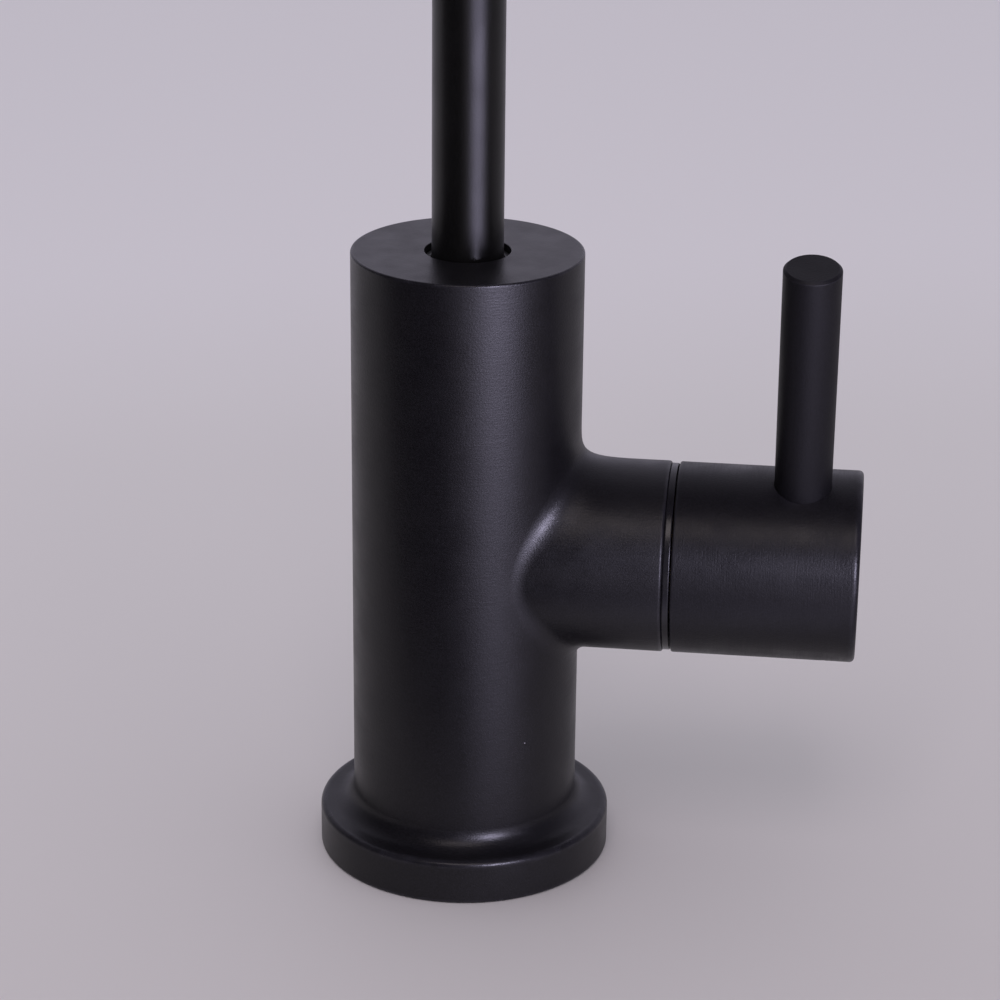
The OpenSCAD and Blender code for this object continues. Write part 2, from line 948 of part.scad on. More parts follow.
module spout_ferrule() {
    seal_0 = ferrule_foot + groove_first - groove_w / 2;
    seal_1 = seal_0 + groove_pitch;
    snap_0 = snap_foot - snap_play / 2;
    snap_1 = snap_top + snap_play / 2;
    inner = ferrule_r - groove_in;
    color(brass)
        rotate_extrude()
            polygon([
                [waterway_r, ferrule_foot], [ferrule_r - bevel, ferrule_foot],
                [ferrule_r, ferrule_foot + bevel],
                [ferrule_r, seal_0], [inner, seal_0], [inner, seal_0 + groove_w],
                [ferrule_r, seal_0 + groove_w],
                [ferrule_r, seal_1], [inner, seal_1], [inner, seal_1 + groove_w],
                [ferrule_r, seal_1 + groove_w],
                [ferrule_r, snap_0], [inner, snap_0], [inner, snap_1], [ferrule_r, snap_1],
                [ferrule_r, ferrule_top], [spout_r + seat_gap, ferrule_top],
                [spout_r + seat_gap, tube_foot - seat_gap], [waterway_r, tube_foot - seat_gap],
            ]);
}

module spout_o_rings() {
    color(rubber)
        for (i = [0, 1])
            translate([0, 0, ferrule_foot + groove_first + groove_pitch * i])
                o_ring(ferrule_r - groove_in + seat_gap, ferrule_r + swivel_gap / 4);
}

module snap_ring() {
    color(white_plastic)
        translate([0, 0, snap_foot])
            linear_extrude(height = snap_h)
                difference() {
                    circle(r = snap_outer_r);
                    circle(r = snap_inner_r);
                    translate([0, -snap_slit / 2])
                        square([snap_outer_r + over, snap_slit]);
                }
}

module spout_bush() {
    color(rubber)
        rotate_extrude()
            polygon([
                [spout_r + swivel_gap, bush_foot], [socket_r - seat_gap, bush_foot],
                [socket_r - seat_gap, bush_top - bevel / 2], [socket_r - seat_gap - bevel / 2, bush_top],
                [spout_r + swivel_gap, bush_top],
            ]);
}

// Outlet

module at_outlet(z) {
    translate([0, -2 * bend_r, z])
        children();
}

module aerator_housing() {
    color(black)
        at_outlet(aerator_foot)
            rotate_extrude()
                polygon([
                    [aerator_r - aerator_rim, 0], [aerator_r - bevel, 0], [aerator_r, bevel],
                    [aerator_r, aerator_len - bevel], [aerator_r - bevel, aerator_len],
                    [spout_r + seat_gap, aerator_len],
                    [spout_r + seat_gap, aerator_len - thread_cover],
                    [aerator_r - aerator_wall, aerator_len - thread_cover],
                    [aerator_r - aerator_wall, aerator_lip],
                    [aerator_r - aerator_rim, aerator_lip],
                ]);
}

module aerator_insert() {
    color(white_plastic)
        at_outlet(aerator_foot + aerator_lip)
            difference() {
                cylinder(r = insert_r, h = insert_h);
                translate([0, 0, insert_plate])
                    cylinder(r = insert_r - insert_wall, h = insert_h);
                for (row = [0, 1], i = [0 : aerator_holes * (row + 1) / 2 - 1])
                    rotate(720 / aerator_holes / (row + 1) * i)
                        translate([hole_rows_share[row] * (aerator_r - aerator_rim), 0, -over])
                            cylinder(r = hole_d / 2, h = insert_plate + 2 * over);
            }
}

module aerator_seal() {
    color(rubber)
        at_outlet(outlet_z - seal_t)
            ring(insert_r, insert_r - seal_width, seal_t);
}

body();
base_gasket();
mounting_shank();
shank_seal();
rubber_washer();
steel_washer();
lock_nut();
inlet_fitting();
tube_o_ring();
grab_ring();
collet_retainer();
release_collet();
seat_seal();
fixed_disc();
turning_disc();
valve_housing();
valve_o_ring();
spindle();
spindle_o_rings();
stop_washer();
spindle_clip();
spacer_ring();
handle_hub();
lever_rod();
grub_screw();
spout_tube();
spout_ferrule();
spout_o_rings();
snap_ring();
spout_bush();
aerator_housing();
aerator_insert();
aerator_seal();
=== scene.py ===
"""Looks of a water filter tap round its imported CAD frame: a matte black body with a side lever and a
gooseneck spout on a pale worktop, and the valve, clamp and inlet fitting inside and below it.

Sizes are in millimetres in the CAD model's frame: the origin is on the worktop under the body, the handle
points to +X and the outlet to -Y. Every piece is turned to metres where its mesh is made.
"""

import math

import bmesh
import bpy
from mathutils import Matrix, Vector


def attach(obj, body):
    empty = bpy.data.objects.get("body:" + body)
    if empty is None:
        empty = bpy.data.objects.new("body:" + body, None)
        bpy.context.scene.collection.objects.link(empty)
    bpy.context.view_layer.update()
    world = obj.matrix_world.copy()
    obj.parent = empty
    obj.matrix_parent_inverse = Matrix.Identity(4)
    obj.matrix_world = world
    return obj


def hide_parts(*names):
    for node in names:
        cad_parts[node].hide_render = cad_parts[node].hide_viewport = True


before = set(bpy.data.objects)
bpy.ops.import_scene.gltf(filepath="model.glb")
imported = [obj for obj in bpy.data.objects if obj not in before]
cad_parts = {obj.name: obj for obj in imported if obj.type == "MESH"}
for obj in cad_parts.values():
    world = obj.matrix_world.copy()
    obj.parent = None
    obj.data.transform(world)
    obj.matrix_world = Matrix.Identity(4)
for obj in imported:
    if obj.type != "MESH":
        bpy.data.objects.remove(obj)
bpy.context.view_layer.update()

# Body
# One brass casting: upright body, foot flange and valve boss, turned, blasted and coated matte black.
# The spout's socket, the valve's bore and the shank's socket are bored into it as blind holes.

MM = 0.001

body_r = 16.25
body_h = 90.8
flange_r = 21.15
flange_h = 6.5
flange_foot_edge = 0.45
flange_top_edge = 0.75
cove_r = 2.8
body_top_edge = 0.3
bored_edge = 0.1
boss_z = 46.7
boss_r = 13.6
boss_end = 28.95
boss_rim = 1.0  # the part of the boss that carries its rounded edges
boss_edge = 0.35
valve_bore_edge = 0.15
blend_r = 2.4
blend_spread = 2.2  # the blend is this much wider in front and behind than below
blend_rise = 2.6  # and this much wider above, where it also runs out long and flat along the boss
blend_tail = 4.5
blend_pull = 0.92  # how far above the blend leans into its corner, where 1 is a sharp corner
blend_steps = 14
socket_r = 6.03
socket_floor = 66.7
valve_bore_r = 9.0
valve_floor = 8.0
gasket_recess_r = 17.95
gasket_t = 2.5
shank_socket_r = 6.05
shank_socket_top = 12.0
around = 144  # faces round a large turned piece
weld_gap = 0.0005
sharpest_smooth_fold = 32  # degrees; a sharper fold between faces is shaded as an edge


def linear(hex_colour):
    """An sRGB hex colour as the linear colour that a shader takes."""
    channels = [int(hex_colour[i:i + 2], 16) / 255 for i in (1, 3, 5)]
    return [c / 12.92 if c <= 0.04045 else ((c + 0.055) / 1.055) ** 2.4 for c in channels] + [1.0]


def add_node(tree, kind, inputs=None, **settings):
    """Adds one shader node. An input that is given a socket is linked to it, any other value is set."""
    new = tree.nodes.new("ShaderNode" + kind)
    for name, value in settings.items():
        setattr(new, name, value)
    for name, value in (inputs or {}).items():
        if isinstance(value, bpy.types.NodeSocket):
            tree.links.new(value, new.inputs[name])
        else:
            new.inputs[name].default_value = value
    return new


def start_material(name, roughness, **sockets):
    """A material with a Principled shader: its tree and its shader, with the sockets' fixed values set."""
    material = bpy.data.materials.new(name)
    material.use_nodes = True
    tree = material.node_tree
    shader = tree.nodes["Principled BSDF"]
    shader.inputs["Roughness"].default_value = roughness
    for socket, value in sockets.items():
        shader.inputs[socket.replace("_", " ")].default_value = value
    return material, tree, shader


def noise(tree, size_mm, stretch=(1, 1, 1), detail=2.0):
    """Noise on the object's own coordinates with grains of size_mm, longer along each axis by its stretch."""
    coords = add_node(tree, "TexCoord").outputs["Object"]
    per_metre = [1 / (size_mm * MM * s) for s in stretch]
    scaled = add_node(tree, "Mapping", {"Vector": coords, "Scale": per_metre})
    grains = add_node(tree, "TexNoise", {"Vector": scaled.outputs["Vector"], "Scale": 1.0, "Detail": detail})
    return grains.outputs["Fac"]


def blend_to(tree, amount, low, high, span=(0.0, 1.0), curve="LINEAR"):
    """A value that runs from low to high as amount runs over span."""
    ranged = add_node(tree, "MapRange", {
        "Value": amount, "From Min": span[0], "From Max": span[1], "To Min": low, "To Max": high,
    }, interpolation_type=curve)
    return ranged.outputs["Result"]


def mix_colours(tree, amount, first, second):
    """One colour fading into another."""
    mixed = add_node(tree, "Mix", {0: amount, 6: first, 7: second}, data_type="RGBA")
    return mixed.outputs[2]


def combine(tree, operation, first, second):
    """Two values worked together."""
    return add_node(tree, "Math", {0: first, 1: second}, operation=operation).outputs[0]


coat_grain_mm = 0.25  # the real grain is near 0.05 mm, coarser here so that it shows
tool_mark_mm = 0.2
handled_mm = 5.0
rubbed_mm = 1.6
dust_gap_mm = 5.5
dust_r = 0.022  # a speck's radius, as a share of the gap
dust_free = 0.86  # share of the gaps without a speck
dust_cover = 0.8
tool_mark_rough = 0.06  # how much rougher or smoother the strokes are
rubbed_smoother = 0.08
rubbed_lighter = 0.18


def matte_black_coat(name, stretch, brushed, roughness=0.37, drawn_out=0.15, level=0.32, cloudy=0.03,
                     relief_mm=0.05):
    """Matte black electrophoretic coat on machined metal: near black with a fine satin grain. Under it the
    tool marks of the metal show as strokes and draw the highlights out across them. It is rubbed a little
    smoother along edges, cloudy where it was handled, and dust sits on it."""
    material, tree, shader = start_material(name, roughness, Specular_IOR_Level=level, Anisotropic=drawn_out,
                                            Anisotropic_Rotation=0.25)
    marks = add_node(tree, "Attribute", attribute_name="marks").outputs["Vector"]
    along = add_node(tree, "VectorTransform", {"Vector": marks}, convert_from="OBJECT", convert_to="WORLD")
    tree.links.new(along.outputs["Vector"], shader.inputs["Tangent"])
    grain = noise(tree, coat_grain_mm)
    strokes = noise(tree, tool_mark_mm, stretch, 3.0)
    clouds = noise(tree, handled_mm, detail=4.0)
    worn = add_node(tree, "Attribute", attribute_name="wear").outputs["Fac"]
    rubbed = combine(tree, "MULTIPLY", worn,
                     blend_to(tree, noise(tree, rubbed_mm, detail=4.0), 0.25, 1.0, (0.35, 0.65)))
    coords = add_node(tree, "TexCoord").outputs["Object"]
    specks = add_node(tree, "TexVoronoi", {"Vector": coords, "Scale": 1 / (dust_gap_mm * MM)})
    chosen = add_node(tree, "SeparateColor", {"Color": specks.outputs["Color"]}).outputs["Red"]
    on_speck = combine(tree, "LESS_THAN", specks.outputs["Distance"], dust_r)
    dust = combine(tree, "MULTIPLY", on_speck, combine(tree, "GREATER_THAN", chosen, dust_free))
    black = mix_colours(tree, blend_to(tree, grain, 0.0, 1.0, (0.3, 0.7)), linear("#080709"),
                        linear("#111013"))
    edged = mix_colours(tree, combine(tree, "MULTIPLY", rubbed, rubbed_lighter), black, linear("#333238"))
    dusty = mix_colours(tree, combine(tree, "MULTIPLY", dust, dust_cover), edged, linear("#8f8c94"))
    tree.links.new(dusty, shader.inputs["Base Color"])
    stroked = tool_mark_rough * brushed
    varied = combine(tree, "ADD", blend_to(tree, clouds, roughness - cloudy, roughness + cloudy, (0.35, 0.65)),
                     blend_to(tree, strokes, -stroked, stroked, (0.3, 0.7)))
    smoother = combine(tree, "SUBTRACT", varied, combine(tree, "MULTIPLY", rubbed, rubbed_smoother))
    tree.links.new(smoother, shader.inputs["Roughness"])
    strokes_on = combine(tree, "MULTIPLY", strokes, brushed)
    relief = combine(tree, "ADD", combine(tree, "MULTIPLY", grain, 0.7), strokes_on)
    bump = add_node(tree, "Bump", {"Height": relief, "Strength": 0.6, "Distance": relief_mm * MM})
    tree.links.new(bump.outputs["Normal"], shader.inputs["Normal"])
    return material


def rounded(corners, steps=5):
    """An outline (radius, height, wear) with its corners (radius, height, round) rounded. Edges with a round
    under a millimetre are marked as worn, and a plain point beside each keeps the wear on the edge."""
    points = []
    for i, (r, z, fillet) in enumerate(corners):
        if not fillet:
            points.append((r, z, 0.0))
            continue
        here = Vector((r, z))
        back = (Vector(corners[i - 1][:2]) - here).normalized()
        ahead = (Vector(corners[(i + 1) % len(corners)][:2]) - here).normalized()
        half = back.angle(ahead) / 2
        centre = here + (back + ahead).normalized() * fillet / math.sin(half)
        start = here + back * fillet / math.tan(half) - centre
        end = here + ahead * fillet / math.tan(half) - centre
        wear = 1.0 if fillet < 1 else 0.0
        if wear:
            points.append((*(centre + start + back * fillet / 2), 0.0))
        for k in range(steps + 1):
            turn = Matrix.Rotation(-start.angle_signed(end) * k / steps, 2)
            points.append((*(centre + turn @ start), wear))
        if wear:
            points.append((*(centre + end + ahead * fillet / 2), 0.0))
    return points


def turned(outline, faces=around, begin=0.0, end=360.0):
    """Rows of points: an outline turned round the Z axis, or part of the way round."""
    count = faces if end - begin >= 360 else faces + 1
    angles = [math.radians(begin + (end - begin) * i / faces) for i in range(count)]
    return [[(r * math.cos(a), r * math.sin(a), z, wear) for a in angles] for r, z, wear in outline]


def round_own_axis(row, i):
    """Which way a tool ran at a point of a row on a piece turned about its own Z axis."""
    return Vector((-row[i][1], row[i][0], 0))


def make_piece(name, skins, body, material, nodes, place=None, tool_way=round_own_axis):
    """Makes one closed mesh of skins, each (rows of points, joined round, joined end to end), gives it its
    material, and hands it to the frame as what stands for those CAD nodes."""
    mesh_maker = bmesh.new()
    wear = mesh_maker.verts.layers.float.new("wear")
    marks = mesh_maker.verts.layers.float_vector.new("marks")
    place = place or Matrix.Identity(4)
    for rows, joined_round, joined_ends in skins:
        grid = []
        for row in rows:
            grid.append([])
            for i, point in enumerate(row):
                vert = mesh_maker.verts.new(place @ Vector(point[:3]) * MM)
                vert[wear] = point[3]
                vert[marks] = (place.to_3x3() @ tool_way(row, i)).normalized()
                grid[-1].append(vert)
        for i in range(len(grid) if joined_ends else len(grid) - 1):
            upper, lower = grid[i], grid[(i + 1) % len(grid)]
            for j in range(len(upper) if joined_round else len(upper) - 1):
                k = (j + 1) % len(upper)
                mesh_maker.faces.new((upper[j], upper[k], lower[k], lower[j]))
    bmesh.ops.remove_doubles(mesh_maker, verts=mesh_maker.verts, dist=weld_gap * MM)
    bmesh.ops.recalc_face_normals(mesh_maker, faces=mesh_maker.faces)
    mesh = bpy.data.meshes.new(name)
    mesh_maker.to_mesh(mesh)
    mesh_maker.free()
    mesh.shade_smooth()
    mesh.set_sharp_from_angle(angle=math.radians(sharpest_smooth_fold))
    mesh.materials.append(material)
    piece = bpy.data.objects.new(name, mesh)
    bpy.context.scene.collection.objects.link(piece)
    piece.modifiers.new("even_shading", "WEIGHTED_NORMAL").keep_sharp = True
    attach(piece, body)
    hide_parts(*nodes)
    return piece


def patch_edge(half_turn, middle, half_height, rise):
    """Points (degrees, height) once round the edge of a patch on a turned piece, from the top's middle."""
    step = 360 / around
    wide, tall = round(half_turn / step), round(2 * half_height / rise)
    top, low = middle + half_height, middle - half_height
    edge = [(step * i, top) for i in range(wide)]
    edge += [(half_turn, top - rise * i) for i in range(tall)]
    edge += [(half_turn - step * i, low) for i in range(2 * wide)]
    edge += [(-half_turn, low + rise * i) for i in range(tall)]
    edge += [(step * i - half_turn, top) for i in range(wide)]
    return edge


def patch_rows(radius, start, touch_turn, touch_z, count):
    """Points on a turned piece from one point of a patch's edge to where the hole or blend begins."""
    turn, z = math.radians(start[0]), start[1]
    points = []
    for i in range(count):
        share = i / count
        a = turn + (touch_turn - turn) * share
        points.append((radius * math.cos(a), radius * math.sin(a), z + (touch_z - z) * share, 0.0))
    return points


body_patch_steps = 9
boss_steps = 5


def boss_column(start):
    """Points from the patch's edge over the blend, along the boss and into the valve's bore. The blend starts
    where a ball that rolls round the boss touches the body, and ends where it touches the boss or beyond."""
    angle = math.atan2(body_r * math.radians(start[0]), start[1] - boss_z)
    side, up = math.sin(angle), math.cos(angle)
    above = max(0.0, up)
    ball_r = blend_r + blend_spread * side ** 2 + blend_rise * above ** 3
    reach = boss_r + ball_r
    ball = Vector((math.sqrt((body_r + ball_r) ** 2 - (reach * side) ** 2), reach * side, reach * up))
    on_body = body_r / (body_r + ball_r)
    to_body = Vector((ball.x * on_body, ball.y * on_body, ball.z)) - ball
    to_boss = Vector((ball.x, boss_r * side, boss_r * up)) - ball
    touch = ball + to_body
    column = patch_rows(body_r, start, math.atan2(touch.y, touch.x), touch.z + boss_z, body_patch_steps)
    turn = to_body.angle(to_boss)
    leg = ball_r * math.tan(turn / 2)
    pull = 4 / 3 * math.tan(turn / 4) * ball_r / leg  # that of a circle
    pull += (blend_pull - pull) * above ** 2
    inward = (to_boss - to_boss.project(to_body)).normalized()
    far_end = ball + to_boss + Vector((blend_tail * above ** 2, 0, 0))
    near_pull = touch + inward * leg * pull
    far_pull = far_end - Vector(((leg + blend_tail * above ** 2) * pull, 0, 0))
    for i in range(blend_steps + 1):
        t = i / blend_steps
        p = (touch * (1 - t) ** 3 + near_pull * 3 * t * (1 - t) ** 2 + far_pull * 3 * t ** 2 * (1 - t)
             + far_end * t ** 3)
        column.append((p.x, p.y, p.z + boss_z, 0.0))
    run = boss_end - boss_rim - far_end.x
    outline = [(boss_r, far_end.x + run * i / boss_steps, 0.0) for i in range(1, boss_steps + 1)]
    outline += rounded([
        (boss_r, boss_end - boss_rim, 0), (boss_r, boss_end, boss_edge),
        (valve_bore_r, boss_end, valve_bore_edge), (valve_bore_r, valve_floor, 0), (0, valve_floor, 0),
    ])[1:]
    column += [(x, r * side, boss_z + r * up, wear) for r, x, wear in outline]
    return column


# The front of the body is a patch of mesh that leads into the blend
patch_half = 20.0
patch_rise = 2.5
foot_outline = rounded([
    (0, shank_socket_top, 0), (shank_socket_r, shank_socket_top, 0), (shank_socket_r, gasket_t, 0),
    (gasket_recess_r, gasket_t, 0), (gasket_recess_r, 0, bored_edge), (flange_r, 0, flange_foot_edge),
    (flange_r, flange_h, flange_top_edge), (body_r, flange_h, cove_r), (body_r, boss_z - patch_half, 0),
], steps=8)
head_outline = rounded([
    (body_r, boss_z + patch_half, 0), (body_r, body_h, body_top_edge), (socket_r, body_h, bored_edge),
    (socket_r, socket_floor, 0), (0, socket_floor, 0),
])
back_outline = [
    (body_r, boss_z - patch_half + patch_rise * i, 0.0) for i in range(round(2 * patch_half / patch_rise) + 1)
]
boss_columns = [boss_column(start) for start in patch_edge(90, boss_z, patch_half, patch_rise)]
faced_smoother = 0.035
blasted_rougher = 0.03


def body_tool_way(row, i):
    """Which way a tool ran: the body was turned about its own axis and the boss about the valve's."""
    x, y, z = row[i][:3]
    on_boss = x > body_r + 1 and abs(z - boss_z) < boss_r + 1
    return Vector((0, boss_z - z, y)) if on_boss else Vector((-y, x, 0))


# Matte black over turned brass: a soft satin band up the body, with fine marks round it
body_coat = matte_black_coat("matte_black_coat_on_turned_body", (14, 14, 1), brushed=0.35)
# The top face was faced last, with a fine feed, so it's a little smoother than the rest. The boss stands out
# of the lathe's reach and was only blasted, so it's a little rougher.
body_tree = body_coat.node_tree
body_rough = body_tree.nodes["Principled BSDF"].inputs["Roughness"]
body_coords = add_node(body_tree, "TexCoord").outputs["Object"]
body_place = add_node(body_tree, "SeparateXYZ", {"Vector": body_coords}).outputs
faced = blend_to(body_tree, body_place["Z"], 0.0, -faced_smoother, ((body_h - 0.15) * MM, (body_h - 0.1) * MM))
blasted = blend_to(body_tree, body_place["X"], 0.0, blasted_rougher, ((body_r + 0.5) * MM, (body_r + 4) * MM))
body_tree.links.new(combine(body_tree, "ADD", body_rough.links[0].from_socket,
                            combine(body_tree, "ADD", faced, blasted)), body_rough)
make_piece(
    "tap_body",
    [
        (turned(foot_outline), True, False),
        (turned(head_outline), True, False),
        (turned(back_outline, around // 2, 90, 270), False, False),
        (list(zip(*boss_columns)), True, False),
    ],
    "base", body_coat, ["body"], tool_way=body_tool_way,
)

# Base gasket and clamp rubber
# A moulded ring under the flange seals the tap to the worktop, and a thick washer grips it from below.
# Both are black rubber, matte and slightly dusty, and keep their CAD shapes.


def dress(material, *nodes):
    """Gives a material to CAD nodes that keep their own shapes."""
    for name in nodes:
        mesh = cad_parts[name].data
        mesh.materials.clear()
        mesh.materials.append(material)


moulded_tint_mm = 3.5
moulded_gloss_mm = 5.0
moulded_gloss_spread = 0.05


def moulded(name, colours, roughness, grain_mm, grain_depth_mm, **sockets):
    """A moulded material with a fine skin: two close colours in soft clouds and an even grain."""
    material, tree, shader = start_material(name, roughness, **sockets)
    clouds = blend_to(tree, noise(tree, moulded_tint_mm), 0.0, 1.0, (0.3, 0.7))
    tint = mix_colours(tree, clouds, linear(colours[0]), linear(colours[1]))
    tree.links.new(tint, shader.inputs["Base Color"])
    gloss = blend_to(tree, noise(tree, moulded_gloss_mm), roughness - moulded_gloss_spread,
                     roughness + moulded_gloss_spread, (0.3, 0.7))
    tree.links.new(gloss, shader.inputs["Roughness"])
    bump = add_node(tree, "Bump", {"Height": noise(tree, grain_mm), "Strength": 0.6,
                                   "Distance": grain_depth_mm * MM})
    tree.links.new(bump.outputs["Normal"], shader.inputs["Normal"])
    return material


# Moulded nitrile rubber: dull charcoal with a dry bloom, no clear highlight
clamp_rubber = moulded("moulded_black_rubber", ("#1d1d1d", "#272726"), 0.78, 0.3, 0.02)
dress(clamp_rubber, "base_gasket", "rubber_washer")

# Mounting shank
# A length of 12 mm brass tube with a 1 mm thread rolled on it, screwed up into the body. The water comes
# up its bore. The thread is cut here as a real helix.

shank_r = 6.0
shank_bore_r = 3.3
shank_foot = -55.0
shank_top = 11.0
thread_pitch = 1.0
thread_depth = 0.54
thread_end = 1.2  # the thread fades out over this length
crest_cut = 1.25  # the thread's ridge would rise to this share of its depth, if its crest weren't flat
flank_slope = 3.0
shank_edge = 0.3
shank_bore_edge = 0.2
shank_faces = 64
rows_per_mm = 8
machined_dulling_mm = 4.0
machined_dulling_rough = 0.1
machined_line_rough = 0.08  # how much rougher or smoother the tool lines are
machined_relief_mm = 0.006


def machined(name, colour, dark, roughness, stretch, lines_mm=0.2, **sockets):
    """Bare machined metal: a clear metal colour, finer and coarser tool lines, and a breath of dulling."""
    material, tree, shader = start_material(name, roughness, Metallic=1.0, **sockets)
    lines = noise(tree, lines_mm, stretch, 3.0)
    dull = blend_to(tree, noise(tree, machined_dulling_mm, detail=5.0), 0.0, 1.0, (0.4, 0.7))
    tree.links.new(mix_colours(tree, dull, linear(colour), linear(dark)), shader.inputs["Base Color"])
    lined = blend_to(tree, lines, roughness - machined_line_rough, roughness + machined_line_rough, (0.3, 0.7))
    rough = combine(tree, "ADD", lined, combine(tree, "MULTIPLY", dull, machined_dulling_rough))
    tree.links.new(rough, shader.inputs["Roughness"])
    bump = add_node(tree, "Bump", {"Height": lines, "Strength": 0.5, "Distance": machined_relief_mm * MM})
    tree.links.new(bump.outputs["Normal"], shader.inputs["Normal"])
    return material


def thread_row(z, faces):
    """Points round the shank at one height, in and out with the thread."""
    share = min(1.0, max(0.0, (z - shank_foot) / thread_end), max(0.0, (shank_top - z) / thread_end))
    row = []
    for i in range(faces):
        phase = (z / thread_pitch - i / faces) % 1.0
        flank = min(1.0, max(0.0, crest_cut - abs(phase - 0.5) * flank_slope))
        r = shank_r - thread_depth * (1 - flank) * share
        row.append((r * math.cos(2 * math.pi * i / faces), r * math.sin(2 * math.pi * i / faces), z, 0.0))
    return row


thread_steps = round((shank_top - shank_foot - 2 * shank_edge) * rows_per_mm)
thread_rows = [
    thread_row(shank_foot + shank_edge + i / rows_per_mm, shank_faces) for i in range(thread_steps + 1)
]
foot_ring = [(shank_bore_r + shank_bore_edge, shank_foot, 0), (shank_r - shank_edge, shank_foot, 0)]
bore_wall = [(shank_r - shank_edge, shank_top, 0), (shank_bore_r, shank_top, 0),
             (shank_bore_r, shank_foot + shank_bore_edge, 0)]
shank_skin = turned(foot_ring, shank_faces) + thread_rows + turned(bore_wall, shank_faces)
# Turned brass: warm yellow with fine rings, a little brown where it has been handled
turned_brass = machined("turned_brass", "#d9b36a", "#b98d4c", 0.3, (12, 12, 1))
make_piece("threaded_shank", [(shank_skin, True, True)], "base", turned_brass, ["mounting_shank"])

# Steel washer, lock nut and seals
# A stamped stainless washer spreads the clamp's force, and a nickel plated hexagon nut runs on the shank.
# O-rings and flat seals are soft nitrile rubber. All keep their CAD shapes.

# Stamped stainless steel: cool grey with a fine rolled grain, brighter where it is flat
stainless = machined("stamped_stainless_steel", "#c2c4c6", "#a9abad", 0.33, (10, 1, 10))
# Nickel plating on brass: warmer and brighter than steel, with soft tool rings under the plating
nickel = machined("nickel_plated_brass", "#cfcac0", "#b5afa4", 0.22, (10, 10, 1))
# Greased nitrile rubber: black with a soft sheen
seal_rubber = moulded("nitrile_seal_rubber", ("#161616", "#202020"), 0.5, 0.2, 0.01)
dress(stainless, "steel_washer", "grab_ring")
dress(nickel, "lock_nut")
dress(seal_rubber, "shank_seal", "tube_o_ring", "seat_seal", "valve_o_ring", "spindle_o_rings", "spout_o_rings",
      "aerator_seal")

# Inlet fitting
# A push-in fitting for quarter inch tube, moulded in grey acetal and screwed on the shank's foot. A white
# acetal collet frees the tube when it is pressed in.

# Moulded acetal: smooth and waxy, with a soft moulded skin and light that sinks in a little
grey_acetal = moulded("moulded_grey_acetal", ("#6d7075", "#777a7f"), 0.42, 0.5, 0.008)
white_acetal = moulded("moulded_white_acetal", ("#dfdfda", "#e8e8e3"), 0.38, 0.5, 0.008, Subsurface_Weight=0.1,
                       Subsurface_Scale=1.5 * MM)
dress(grey_acetal, "inlet_fitting", "collet_retainer")
dress(white_acetal, "release_collet", "snap_ring")

# Valve
# A brass cartridge with two lapped alumina discs, which a quarter turn of the spindle opens. It is hidden
# in the boss and the hub, and keeps its CAD shapes.

# Brass turned about the valve's own axis, dulled by the grease that it was put together with
valve_brass = machined("turned_valve_brass", "#9c8458", "#776443", 0.36, (1, 12, 12))
# Lapped alumina: dense off-white ceramic with a silky, even gloss
alumina = moulded("lapped_alumina", ("#e9e6dc", "#efece4"), 0.25, 0.15, 0.002)
dress(valve_brass, "valve_housing", "spindle")
dress(alumina, "fixed_disc", "turning_disc")
dress(stainless, "stop_washer", "spindle_clip")

# Spacer ring
# A thin black acetal ring between the boss and the turning hub, set in a little and glossier than both.

ring_r = 13.3
ring_bore_r = 9.0
ring_t = 1.05
ring_bore_edge = 0.08
ring_back_edge = 0.2
ring_front_edge = 0.15
VALVE_AXIS = Matrix(((0, 0, 1, 0), (1, 0, 0, 0), (0, 1, 0, boss_z), (0, 0, 0, 1)))  # local +Z along the valve

# Satin black acetal: smooth enough for a small clear glint
ring_acetal = moulded("satin_black_acetal", ("#0b0a0c", "#100f12"), 0.24, 0.4, 0.004, Specular_IOR_Level=0.36)
ring_outline = rounded([
    (ring_bore_r, boss_end, ring_bore_edge), (ring_r, boss_end, ring_back_edge),
    (ring_r, boss_end + ring_t, ring_front_edge), (ring_bore_r, boss_end + ring_t, ring_bore_edge),
], steps=3)
make_piece("spacer_ring_piece", [(turned(ring_outline), True, True)], "base", ring_acetal,
           ["spacer_ring"], VALVE_AXIS)

# Handle hub
# A turned drum on the valve's spindle, brushed round its axis before the black coat. The lever screws into
# a flat-bottomed seat in its side, and a grub screw opposite clamps it to the spindle.

hub_r = 13.575
hub_foot = 30.17
hub_len = 25.9
hub_edge = 0.7
hub_mouth_edge = 0.25
hub_cavity_edge = 0.1
hub_cavity_r = 10.475
hub_cavity = 12.0
spindle_socket_r = 3.98
spindle_socket_top = 21.8
lever_at = 17.5
lever_seat_r = 4.05
lever_foot = 12.275
stub_hole_r = 2.55
stub_hole_floor = 6.6
grub_hole_r = 2.05
grub_hole_floor = 4.3
band_half = 6.0  # the band of patches that lead into the two holes
band_rise = 1.5
band_turn = 60
band_patch_steps = 7
hole_rim_wear = 0.6
lean = 13  # degrees, of the lever at rest
HANDLE = VALVE_AXIS @ Matrix.Rotation(math.radians(lean), 4, "Z")
# In the hub's own frame the lever points to +X, and +Z runs along the valve from the hub's mouth
HUB = HANDLE @ Matrix.Translation((0, 0, hub_foot)) @ Matrix.Rotation(math.radians(90), 4, "Z")


